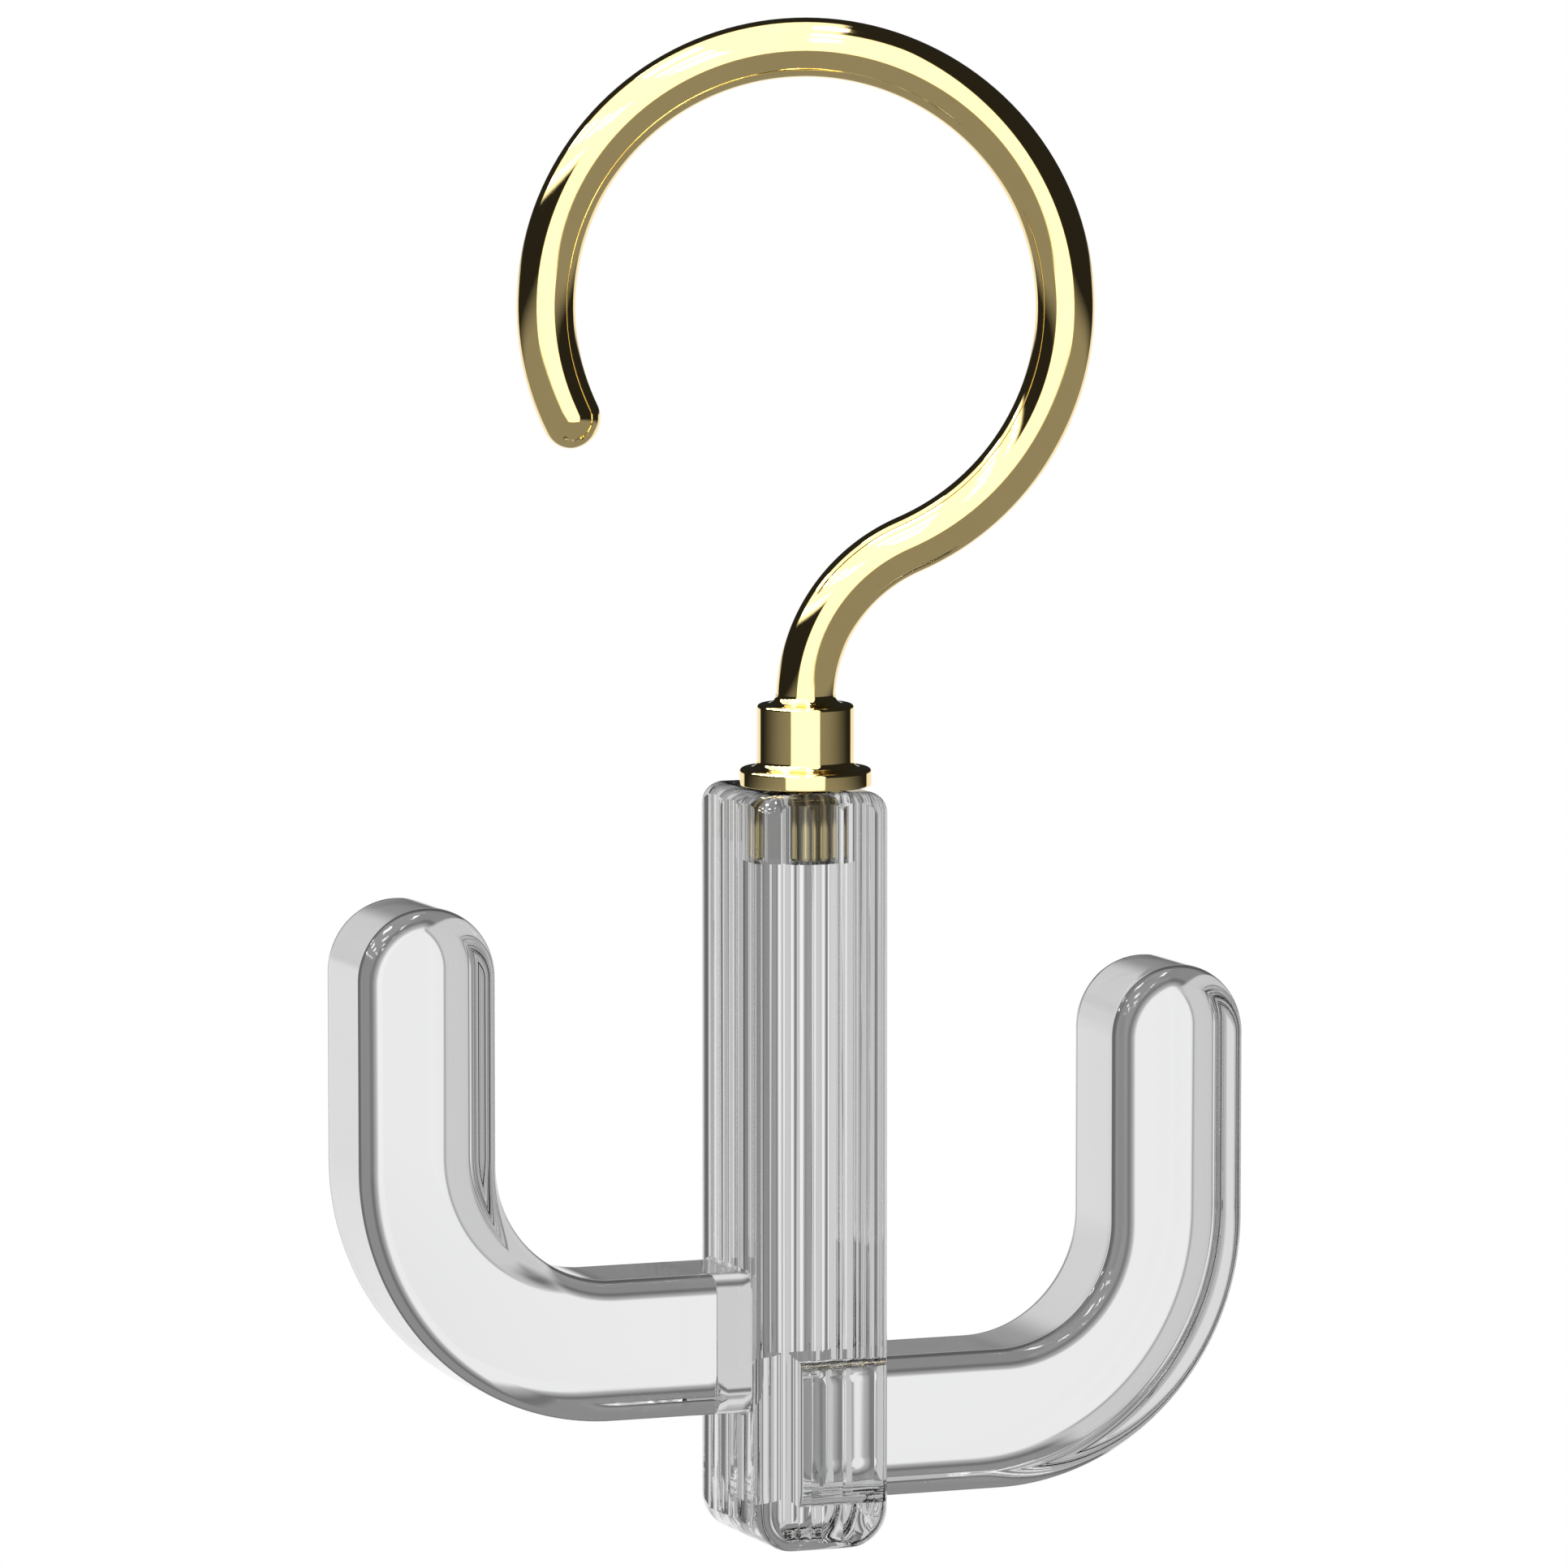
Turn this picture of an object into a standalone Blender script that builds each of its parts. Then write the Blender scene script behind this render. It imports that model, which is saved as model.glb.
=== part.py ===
"""Hook hanger for a wardrobe rail: a bent metal hook that swivels in a clear fluted post with two J arms.

Units are metres and +Z is up. The origin is the point under the hook's crown where the rail bears,
and the Z axis is the swivel axis. At rest the hook's plane is turned to the arms' plane by HOOK_YAW.
"""
from math import asin, atan2, cos, pi, radians, sin, sqrt

import bmesh
import bpy
from mathutils import Vector

# Hook rod, bent in one plane: loop, neck and straight stem, measured on the rod's centre line
ROD_DIAMETER = 0.0064
LOOP_RADIUS = 0.02779
NECK_RADIUS = 0.0185
TIP_ANGLE = radians(212)
HOOK_YAW = radians(-21.5)
NECK_ABOVE_POST = 0.0093

# Shank under the stem, with the groove that the retaining clip snaps into
SHANK_DIAMETER = 0.0048
SHANK_LENGTH = 0.0070
GROOVE_DIAMETER = 0.0034
GROOVE_WIDTH = 0.0012
CLIP_DIAMETER = 0.0070
CLIP_THICKNESS = 0.0006
CLIP_MOUTH = 0.0026

# Turned collar: flange, barrel and a shoulder that closes on the rod
FLANGE_DIAMETER = 0.0143
FLANGE_THICKNESS = 0.0019
BARREL_DIAMETER = 0.0105
BARREL_TOP = 0.0091
SHOULDER_DIAMETER = 0.0084
SHOULDER_TOP = 0.0101
COLLAR_FLOOR = 0.0008
COLLAR_COVE = 0.0008
COLLAR_EDGE = 0.0004
COLLAR_LAND = 0.00012

# Bush in the top of the post
BUSH_DIAMETER = 0.0088
BUSH_LENGTH = 0.0074
BUSH_CHAMFER = 0.0003
CLIP_CHAMBER_DEPTH = 0.0023

# Post: a block with rounded ends and edges, fluted on all four sides
POST_WIDTH = 0.01526
POST_DEPTH = 0.0196
POST_HEIGHT = 0.0821
POST_TOP_CORNER = 0.0024
POST_BOTTOM_CORNER = 0.0044
EDGE_ROUND = 0.0022
FLUTE_DEPTH = 0.00035
FLUTES = 3
POST_LEFT_OF_AXIS = 0.0005
POST_BEHIND_AXIS = 0.0020

# Arms: J shapes of one section, each let into a socket in the side of the post
ARM_FACE = 0.01537
ARM_DEPTH = 0.0143
ARM_BACK_ROUND = 0.0030
ARM_BEND_RADIUS = 0.02092
ARM_REACH = 0.04341
ARM_RISE = 0.04108
ARM_BEHIND_POST_MIDDLE = 0.0016
LEFT_ARM_DROP = 0.05963
RIGHT_BELOW_LEFT = 0.01014
LEFT_ROOT_DEPTH = 0.0006
RIGHT_ROOT_DEPTH = 0.0088
ROOT_TAPER = 0.00015

# Clearances
SEAT_GAP = 0.0003
RUNNING_GAP = 0.0003
CREST_RELIEF = 0.00003
CUT_OVERRUN = 0.002
MERGE_DISTANCE = 0.00001

# Facets
ROD_STEP = radians(7.5)
ROD_BEVEL_RESOLUTION = 8
TURNED_STEPS = 40
ARC_STEPS = 5
BEND_STEPS = 14

rod_radius = ROD_DIAMETER / 2
shank_radius = SHANK_DIAMETER / 2
bush_bore_radius = shank_radius + RUNNING_GAP
clip_radius = CLIP_DIAMETER / 2
arm_half = ARM_FACE / 2


def clear_scene():
    for item in list(bpy.data.objects):
        bpy.data.objects.remove(item, do_unlink=True)


def new_collection(name):
    group = bpy.data.collections.new(name)
    bpy.context.scene.collection.children.link(group)
    return group


def new_material(name, colour, roughness, metallic, transmission=0.0):
    material = bpy.data.materials.new(name)
    material.use_nodes = True
    shader = material.node_tree.nodes["Principled BSDF"]
    shader.inputs["Base Color"].default_value = (*colour, 1.0)
    shader.inputs["Roughness"].default_value = roughness
    shader.inputs["Metallic"].default_value = metallic
    shader.inputs["Transmission Weight"].default_value = transmission
    return material


def new_empty(name, group, location):
    empty = bpy.data.objects.new(name, None)
    empty.location = location
    group.objects.link(empty)
    return empty


def new_piece(name, mesh, group, parent, location=(0, 0, 0), turn=0.0, material=None):
    piece = bpy.data.objects.new(name, mesh)
    group.objects.link(piece)
    piece.parent = parent
    piece.location = location
    piece.rotation_euler.z = turn
    if material is not None:
        piece.data.materials.append(material)
    return piece


def smooth(piece, angle=radians(35)):
    piece.data.shade_smooth()
    piece.data.set_sharp_from_angle(angle=angle)


def make_cutter(piece):
    piece.hide_render = True
    piece.display_type = "WIRE"
    return piece


def add_boolean(piece, operation, other):
    boolean = piece.modifiers.new(operation.lower(), "BOOLEAN")
    boolean.operation = operation
    boolean.object = other
    boolean.solver = "EXACT"


def arc(centre, radius, start, end, steps):
    """Points on an arc, both ends included; angles are anticlockwise from the first axis."""
    angles = [start + (end - start) * step / steps for step in range(steps + 1)]
    return [(centre[0] + radius * cos(a), centre[1] + radius * sin(a)) for a in angles]


def prism_mesh(name, outline, place, along):
    """A closed prism: each outline point is placed in space by place(), and swept by the vector along."""
    bm = bmesh.new()
    face = bm.faces.new([bm.verts.new(place(*point)) for point in outline])
    swept = bmesh.ops.extrude_face_region(bm, geom=[face])
    moved = [item for item in swept["geom"] if isinstance(item, bmesh.types.BMVert)]
    bmesh.ops.translate(bm, verts=moved, vec=along)
    bmesh.ops.recalc_face_normals(bm, faces=bm.faces)
    mesh = bpy.data.meshes.new(name)
    bm.to_mesh(mesh)
    bm.free()
    return mesh


def round_rim(mesh, y, radius):
    """Rounds the rim of the flat face that lies at the given y."""
    bm = bmesh.new()
    bm.from_mesh(mesh)
    rim = [e for e in bm.edges if all(abs(v.co.y - y) < MERGE_DISTANCE for v in e.verts)]
    bmesh.ops.bevel(bm, geom=rim, offset=radius, segments=ARC_STEPS, profile=0.5, affect="EDGES")
    bm.to_mesh(mesh)
    bm.free()


def turned_piece(name, profile, closed, group, parent, location, turn, material):
    """A turned shape from (radius, height) points that run down the outer side."""
    mesh = bpy.data.meshes.new(name)
    edges = [(i, i + 1) for i in range(len(profile) - 1)]
    if closed:
        edges.append((len(profile) - 1, 0))
    mesh.from_pydata([(r, 0.0, z) for r, z in profile], edges, [])
    piece = new_piece(name, mesh, group, parent, location, turn, material)
    screw = piece.modifiers.new("turn", "SCREW")
    screw.steps = TURNED_STEPS
    screw.render_steps = TURNED_STEPS
    screw.use_merge_vertices = True
    screw.merge_threshold = MERGE_DISTANCE
    screw.use_smooth_shade = True
    return piece


def hook_levels():
    """Centres of the hook's two arcs in its own plane, as (across, height), and the angle where they meet."""
    loop = (0.0, rod_radius - LOOP_RADIUS)
    drop = sqrt((LOOP_RADIUS + NECK_RADIUS) ** 2 - NECK_RADIUS ** 2)
    neck = (NECK_RADIUS, loop[1] - drop)
    return loop, neck, atan2(-drop, NECK_RADIUS)


def post_top():
    return hook_levels()[1][1] - NECK_ABOVE_POST


def hook_path():
    """Centre-line points from the rounded tip to the foot of the stem, each with its share of the radius."""
    loop, neck, meeting = hook_levels()
    tip_sweep = rod_radius / LOOP_RADIUS
    path = []
    for step in range(ARC_STEPS, 0, -1):
        lean = asin(step / (ARC_STEPS + 0.15))
        at = TIP_ANGLE - tip_sweep * (1 - sin(lean))
        path.append((arc(loop, LOOP_RADIUS, at, at, 1)[0], cos(lean)))
    start = TIP_ANGLE - tip_sweep
    steps = round((start - meeting) / ROD_STEP)
    path += [(point, 1.0) for point in arc(loop, LOOP_RADIUS, start, meeting, steps)]
    steps = round(-meeting / ROD_STEP)
    path += [(point, 1.0) for point in arc(neck, NECK_RADIUS, meeting + pi, pi, steps)[1:]]
    path.append(((0.0, post_top() + SEAT_GAP + COLLAR_FLOOR + SEAT_GAP), 1.0))
    return path


def rod_mesh(name, group):
    """The rod as a bevelled curve, turned into a mesh so that the shank can be joined to it."""
    curve = bpy.data.curves.new(name, "CURVE")
    curve.dimensions = "3D"
    curve.bevel_depth = rod_radius
    curve.bevel_resolution = ROD_BEVEL_RESOLUTION
    curve.use_fill_caps = True
    path = hook_path()
    spline = curve.splines.new("POLY")
    spline.points.add(len(path) - 1)
    for point, ((across, height), share) in zip(spline.points, path):
        point.co = (across, 0.0, height, 1.0)
        point.radius = share
    guide = bpy.data.objects.new(name + "_guide", curve)
    group.objects.link(guide)
    bpy.context.view_layer.update()
    evaluated = guide.evaluated_get(bpy.context.evaluated_depsgraph_get())
    mesh = bpy.data.meshes.new_from_object(evaluated)
    bm = bmesh.new()
    bm.from_mesh(mesh)
    bmesh.ops.remove_doubles(bm, verts=bm.verts, dist=MERGE_DISTANCE)
    bmesh.ops.recalc_face_normals(bm, faces=bm.faces)
    bm.to_mesh(mesh)
    bm.free()
    bpy.data.objects.remove(guide, do_unlink=True)
    mesh.name = name
    return mesh


def shank_profile():
    """From inside the stem's foot down to the shank's end, with the clip groove."""
    groove_top = -(BUSH_LENGTH - CLIP_CHAMBER_DEPTH)
    return [
        (0.0, BARREL_TOP / 2),
        (shank_radius, BARREL_TOP / 2),
        (shank_radius, groove_top),
        (GROOVE_DIAMETER / 2, groove_top),
        (GROOVE_DIAMETER / 2, groove_top - GROOVE_WIDTH),
        (shank_radius, groove_top - GROOVE_WIDTH),
        (shank_radius, -SHANK_LENGTH),
        (0.0, -SHANK_LENGTH),
    ]


def make_hook_rod(group, cutters, hook, material):
    mesh = rod_mesh("hook_rod", group)
    rod = new_piece("hook_rod", mesh, group, hook, turn=HOOK_YAW, material=material)
    shank = turned_piece("shank_blank", shank_profile(), False, cutters, hook, (0, 0, post_top()),
                         HOOK_YAW, None)
    add_boolean(rod, "UNION", make_cutter(shank))
    smooth(rod)
    return rod


def collar_profile():
    """Outer side from the shoulder down to the seat, then up the bore past the stem's foot."""
    barrel = BARREL_DIAMETER / 2
    flange = FLANGE_DIAMETER / 2
    shoulder = SHOULDER_DIAMETER / 2
    bore = rod_radius + SEAT_GAP
    lip = bore + COLLAR_LAND
    flange_top = SEAT_GAP + FLANGE_THICKNESS
    rise = SHOULDER_TOP - BARREL_TOP
    sweep = [step / ARC_STEPS * pi / 2 for step in range(ARC_STEPS + 1)]
    profile = [(shoulder - (shoulder - lip) * cos(a), SHOULDER_TOP - rise * sin(a)) for a in sweep]
    profile += arc((barrel - COLLAR_EDGE, BARREL_TOP - COLLAR_EDGE), COLLAR_EDGE, pi / 2, 0, ARC_STEPS)
    profile += arc((barrel + COLLAR_COVE, flange_top + COLLAR_COVE), COLLAR_COVE, pi, 1.5 * pi, ARC_STEPS)
    profile += arc((flange - COLLAR_EDGE, flange_top - COLLAR_EDGE), COLLAR_EDGE, pi / 2, 0, ARC_STEPS)
    profile += [
        (flange, SEAT_GAP),
        (bush_bore_radius, SEAT_GAP),
        (bush_bore_radius, SEAT_GAP + COLLAR_FLOOR),
        (bore, SEAT_GAP + COLLAR_FLOOR),
        (bore, SHOULDER_TOP),
    ]
    return profile


def make_collar(group, hook, material):
    return turned_piece("swivel_collar", collar_profile(), True, group, hook, (0, 0, post_top()),
                        HOOK_YAW, material)


def make_clip(group, hook, material):
    """A flat open ring in the groove, its mouth towards the back."""
    inner = GROOVE_DIAMETER / 2 + RUNNING_GAP
    outer_gap = asin(CLIP_MOUTH / 2 / clip_radius)
    inner_gap = asin(CLIP_MOUTH / 2 / inner)
    outline = arc((0.0, 0.0), clip_radius, pi / 2 + outer_gap, 2.5 * pi - outer_gap, TURNED_STEPS)
    outline += arc((0.0, 0.0), inner, 2.5 * pi - inner_gap, pi / 2 + inner_gap, TURNED_STEPS)
    top = -(BUSH_LENGTH - CLIP_CHAMBER_DEPTH) - SEAT_GAP
    mesh = prism_mesh("retaining_clip", outline, lambda x, y: (x, y, top - CLIP_THICKNESS),
                      Vector((0, 0, CLIP_THICKNESS)))
    clip = new_piece("retaining_clip", mesh, group, hook, (0, 0, post_top()), HOOK_YAW, material)
    smooth(clip)
    return clip


def bush_profile():
    """Outer side down from the top, then up through the clip chamber and the running bore."""
    outer = BUSH_DIAMETER / 2
    chamber = clip_radius + RUNNING_GAP
    chamber_top = -(BUSH_LENGTH - CLIP_CHAMBER_DEPTH)
    return [
        (outer - BUSH_CHAMFER, 0.0),
        (outer, -BUSH_CHAMFER),
        (outer, -BUSH_LENGTH + BUSH_CHAMFER),
        (outer - BUSH_CHAMFER, -BUSH_LENGTH),
        (chamber, -BUSH_LENGTH),
        (chamber, chamber_top),
        (bush_bore_radius, chamber_top),
        (bush_bore_radius, 0.0),
    ]


def make_bush(group, swivel, material):
    return turned_piece("socket_bush", bush_profile(), True, group, swivel, (0, 0, 0), 0.0, material)


def block_outline():
    """Front outline of the post about its middle line, from its top at zero down."""
    half = POST_WIDTH / 2
    top = POST_TOP_CORNER
    low = POST_BOTTOM_CORNER
    outline = arc((half - top, -top), top, 0, pi / 2, ARC_STEPS)
    outline += arc((top - half, -top), top, pi / 2, pi, ARC_STEPS)
    outline += arc((low - half, low - POST_HEIGHT), low, pi, 1.5 * pi, ARC_STEPS)
    outline += arc((half - low, low - POST_HEIGHT), low, 1.5 * pi, 2 * pi, ARC_STEPS)
    return outline


def fluted_side(half_width, face):
    """Hollow flutes along one side as (along, out) points: ridges near the face, valleys FLUTE_DEPTH behind it."""
    pitch = 2 * half_width / FLUTES
    ridge = face - CREST_RELIEF
    hollow = FLUTE_DEPTH - CREST_RELIEF
    radius = ((pitch / 2) ** 2 + hollow ** 2) / (2 * hollow)
    lean = asin(pitch / 2 / radius)
    climb = CUT_OVERRUN / 2
    points = [(-half_width - climb, ridge + climb)]
    for flute in range(FLUTES):
        centre = (-half_width + pitch * (flute + 0.5), face - FLUTE_DEPTH + radius)
        flute_points = arc(centre, radius, 1.5 * pi - lean, 1.5 * pi + lean, ARC_STEPS + 1)
        points += flute_points if flute == 0 else flute_points[1:]
    points.append((half_width + climb, ridge + climb))
    return points


def fluted_outline():
    """Plan of the fluted prism: the fluted panels, with square corners outside the post's round edges."""
    half_width = POST_WIDTH / 2
    half_depth = POST_DEPTH / 2
    front = fluted_side(half_width - EDGE_ROUND, half_depth)
    side = fluted_side(half_depth - EDGE_ROUND, half_width)
    corner = CUT_OVERRUN
    outline = [(along, out) for along, out in front] + [(half_width + corner, half_depth + corner)]
    outline += [(out, -along) for along, out in side] + [(half_width + corner, -half_depth - corner)]
    outline += [(-along, -out) for along, out in front] + [(-half_width - corner, -half_depth - corner)]
    outline += [(-out, along) for along, out in side] + [(-half_width - corner, half_depth + corner)]
    return outline


def socket_outline():
    """Section of an arm plus its clearance, as (y, z) about the arm's centre line."""
    half_y = ARM_DEPTH / 2 + SEAT_GAP
    half_z = arm_half + SEAT_GAP
    front = EDGE_ROUND + SEAT_GAP
    back = ARM_BACK_ROUND + SEAT_GAP
    outline = arc((front - half_y, half_z - front), front, pi / 2, pi, ARC_STEPS)
    outline += arc((front - half_y, front - half_z), front, pi, 1.5 * pi, ARC_STEPS)
    outline += arc((half_y - back, back - half_z), back, 1.5 * pi, 2 * pi, ARC_STEPS)
    outline += arc((half_y - back, half_z - back), back, 0, pi / 2, ARC_STEPS)
    return outline


def arm_drop(side):
    return LEFT_ARM_DROP if side < 0 else LEFT_ARM_DROP + RIGHT_BELOW_LEFT


def root_reach(side):
    """How far from the post's middle plane an arm's root ends."""
    return POST_WIDTH / 2 - (LEFT_ROOT_DEPTH if side < 0 else RIGHT_ROOT_DEPTH)


def socket_cutter(name, side, cutters, swivel, place):
    start = root_reach(side) - SEAT_GAP
    length = POST_WIDTH / 2 + CUT_OVERRUN - start
    mesh = prism_mesh(
        name, socket_outline(),
        lambda y, z: (side * start, y + ARM_BEHIND_POST_MIDDLE, z - arm_drop(side)),
        Vector((side * length, 0, 0)))
    return make_cutter(new_piece(name, mesh, cutters, swivel, place))


def bore_cutter(cutters, swivel):
    """The blind bore that the bush is bonded into."""
    radius = BUSH_DIAMETER / 2 + RUNNING_GAP
    depth = BUSH_LENGTH + SEAT_GAP
    profile = [(0.0, CUT_OVERRUN), (radius, CUT_OVERRUN), (radius, -depth), (0.0, -depth)]
    cutter = turned_piece("bore_cutter", profile, False, cutters, swivel, (0, 0, 0), 0.0, None)
    return make_cutter(cutter)


def make_post(group, cutters, swivel, place, material):
    half_depth = POST_DEPTH / 2
    block = prism_mesh("post_body", block_outline(), lambda x, z: (x, -half_depth, z),
                       Vector((0, POST_DEPTH, 0)))
    round_rim(block, -half_depth, EDGE_ROUND)
    round_rim(block, half_depth, EDGE_ROUND)
    post = new_piece("post_body", block, group, swivel, place, material=material)
    height = POST_HEIGHT + 2 * CUT_OVERRUN
    prism = prism_mesh("fluted_prism", fluted_outline(), lambda x, y: (x, y, CUT_OVERRUN),
                       Vector((0, 0, -height)))
    add_boolean(post, "INTERSECT", make_cutter(new_piece("fluted_prism", prism, cutters, swivel, place)))
    add_boolean(post, "DIFFERENCE", bore_cutter(cutters, swivel))
    add_boolean(post, "DIFFERENCE", socket_cutter("left_socket_cutter", -1, cutters, swivel, place))
    add_boolean(post, "DIFFERENCE", socket_cutter("right_socket_cutter", 1, cutters, swivel, place))
    smooth(post)
    return post


def arm_outline(side):
    """Front outline of an arm: root with a light taper in the socket, bend, upright and half-round tip."""
    root = root_reach(side)
    mouth = POST_WIDTH / 2 + SEAT_GAP
    bend = (ARM_REACH - ARM_BEND_RADIUS, ARM_BEND_RADIUS)
    outline = [(root, ROOT_TAPER - arm_half), (mouth, -arm_half)]
    outline += arc(bend, ARM_BEND_RADIUS + arm_half, -pi / 2, 0, BEND_STEPS)
    outline += arc((ARM_REACH, ARM_RISE), arm_half, 0, pi, BEND_STEPS)
    outline += arc(bend, ARM_BEND_RADIUS - arm_half, 0, -pi / 2, BEND_STEPS)
    outline += [(mouth, arm_half), (root, arm_half - ROOT_TAPER)]
    return [(side * x, z - arm_drop(side)) for x, z in outline]


def make_arm(name, side, group, swivel, place, material):
    front = ARM_BEHIND_POST_MIDDLE - ARM_DEPTH / 2
    mesh = prism_mesh(name, arm_outline(side), lambda x, z: (x, front, z), Vector((0, ARM_DEPTH, 0)))
    bm = bmesh.new()
    bm.from_mesh(mesh)
    root = root_reach(side)
    for y, radius in ((front, EDGE_ROUND), (front + ARM_DEPTH, ARM_BACK_ROUND)):
        rim = [e for e in bm.edges if all(abs(v.co.y - y) < MERGE_DISTANCE for v in e.verts)]
        rim = [e for e in rim if any(abs(abs(v.co.x) - root) > MERGE_DISTANCE for v in e.verts)]
        bmesh.ops.bevel(bm, geom=rim, offset=radius, segments=ARC_STEPS, profile=0.5, affect="EDGES")
    bm.to_mesh(mesh)
    bm.free()
    arm = new_piece(name, mesh, group, swivel, place, material=material)
    smooth(arm)
    return arm


def main():
    clear_scene()
    group = new_collection("hook_hanger")
    cutters = new_collection("cutters")
    gold = new_material("pale_gold", (0.88, 0.80, 0.52), 0.08, 1.0)
    brass = new_material("bush_brass", (0.72, 0.60, 0.34), 0.25, 1.0)
    steel = new_material("spring_steel", (0.45, 0.44, 0.42), 0.3, 1.0)
    clear = new_material("clear_acrylic", (0.93, 0.93, 0.93), 0.02, 0.0, 1.0)

    hook = new_empty("hook_frame", group, (0, 0, 0))
    swivel = new_empty("swivel_frame", group, (0, 0, post_top()))
    place = (-POST_LEFT_OF_AXIS, POST_BEHIND_AXIS, 0)

    make_hook_rod(group, cutters, hook, gold)
    make_collar(group, hook, gold)
    make_clip(group, hook, steel)
    make_bush(group, swivel, brass)
    make_post(group, cutters, swivel, place, clear)
    make_arm("left_arm", -1, group, swivel, place, clear)
    make_arm("right_arm", 1, group, swivel, place, clear)


main()
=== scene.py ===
"""Looks of the hook hanger: fine versions of every piece, clear acrylic and polished pale gold, on white."""

from math import asin, atan2, cos, pi, radians, sin, sqrt

import bmesh
import bpy
from mathutils import Matrix, Vector


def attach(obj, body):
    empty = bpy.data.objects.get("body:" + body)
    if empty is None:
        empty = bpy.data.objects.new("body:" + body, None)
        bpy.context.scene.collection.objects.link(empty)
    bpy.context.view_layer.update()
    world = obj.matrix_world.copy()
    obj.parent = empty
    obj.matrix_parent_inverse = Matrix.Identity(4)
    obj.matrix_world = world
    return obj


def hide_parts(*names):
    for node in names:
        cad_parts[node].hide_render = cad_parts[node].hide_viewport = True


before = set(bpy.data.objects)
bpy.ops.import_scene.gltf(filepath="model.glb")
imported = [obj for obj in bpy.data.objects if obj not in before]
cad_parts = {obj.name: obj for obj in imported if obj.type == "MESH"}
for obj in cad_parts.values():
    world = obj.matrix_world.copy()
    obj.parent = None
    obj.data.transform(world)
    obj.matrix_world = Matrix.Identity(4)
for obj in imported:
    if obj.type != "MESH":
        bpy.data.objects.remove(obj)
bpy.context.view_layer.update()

# Sizes in metres. They follow the part's source, and a few are up to 0.06 mm off it, so that the
# finer shapes fill the same box. CAD_POST_HALF is half the source's post width.
ROD_RADIUS = 0.00318
LOOP_RADIUS = 0.02779
CROWN_RISE = 0.00002
NECK_RADIUS = 0.0185
TIP_ANGLE = radians(212)
HOOK_YAW = radians(-21.5)
NECK_ABOVE_POST = 0.0093
SHANK_RADIUS = 0.0024
SHANK_LENGTH = 0.0070
GROOVE_RADIUS = 0.0017
GROOVE_WIDTH = 0.0012
CLIP_RADIUS = 0.0035
CLIP_THICKNESS = 0.0006
CLIP_MOUTH = 0.0026
CLIP_EDGE = 0.00012
CLIP_CHAMBER_DEPTH = 0.0023
FLANGE_RADIUS = 0.00713
FLANGE_THICKNESS = 0.0019
FLANGE_FOOT_EDGE = 0.00015
BARREL_RADIUS = 0.00524
BARREL_TOP = 0.0091
SHOULDER_RADIUS = 0.0042
SHOULDER_TOP = 0.0101
COLLAR_FLOOR = 0.0008
COLLAR_COVE = 0.0008
COLLAR_EDGE = 0.00045
COLLAR_CLEARANCE = 0.00004
BUSH_RADIUS = 0.0044
BUSH_LENGTH = 0.0074
BUSH_CHAMFER = 0.0003
POST_WIDTH = 0.0152
POST_DEPTH = 0.01954
POST_HEIGHT = 0.0821
POST_TOP_CORNER = 0.0024
POST_BOTTOM_CORNER = 0.0044
EDGE_ROUND = 0.0022
FLUTE_DEPTH = 0.00035
FLUTE_RELIEF = 0.00001
FLUTES = 3
POST_LEFT_OF_AXIS = 0.0005
POST_BEHIND_AXIS = 0.0020
ARM_FACE = 0.01537
ARM_DEPTH = 0.0143
ARM_BACK_ROUND = 0.0030
ARM_BEND_RADIUS = 0.02092
ARM_REACH = 0.04341
ARM_RISE = 0.04108
ARM_BEHIND_POST_MIDDLE = 0.0016
LEFT_ARM_DROP = 0.05963
RIGHT_BELOW_LEFT = 0.01014
CAD_POST_HALF = 0.00763
LEFT_ROOT_DEPTH = 0.0006
RIGHT_ROOT_DEPTH = 0.0088
ROOT_TAPER = 0.00015
GAP = 0.0003

# Lengths of the modelling itself: how far cutters run past a face, how close counts as level
# or as in place, and the radius of the small cap where a turned cutter meets its axis
OVERRUN = 0.002
LEVEL_WITHIN = 0.000002
NEAR = 0.00001
AXIS_RADIUS = 0.00001

# How finely the shapes are divided. TIP_STEPS_TO_POLE is just over TIP_STEPS, so that the
# rod's tip ends in a small ring.
ROUND_SIDES = 96
ROD_SIDES = 64
CLIP_STEPS = 64
CLIP_EDGE_SEGMENTS = 2
TIP_STEPS = 14
TIP_STEPS_TO_POLE = 14.02
LOOP_STEPS = 120
NECK_STEPS = 40
STEM_SHARES = (0.5, 1.0)
SHOULDER_STEPS = 12
COLLAR_EDGE_STEPS = 10
FLANGE_FOOT_STEPS = 4
POST_CORNER_STEPS = 16
POST_RIM_SEGMENTS = 14
FLUTE_STEPS = 17
SOCKET_STEPS = 10
ARM_OUTER_STEPS = 48
ARM_TIP_STEPS = 56
ARM_INNER_STEPS = 40
ARM_RIM_SEGMENTS = 12
ROUND_PROFILE = 0.5
SHARP_ANGLE = radians(30)
NORMAL_WEIGHT = 100

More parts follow.
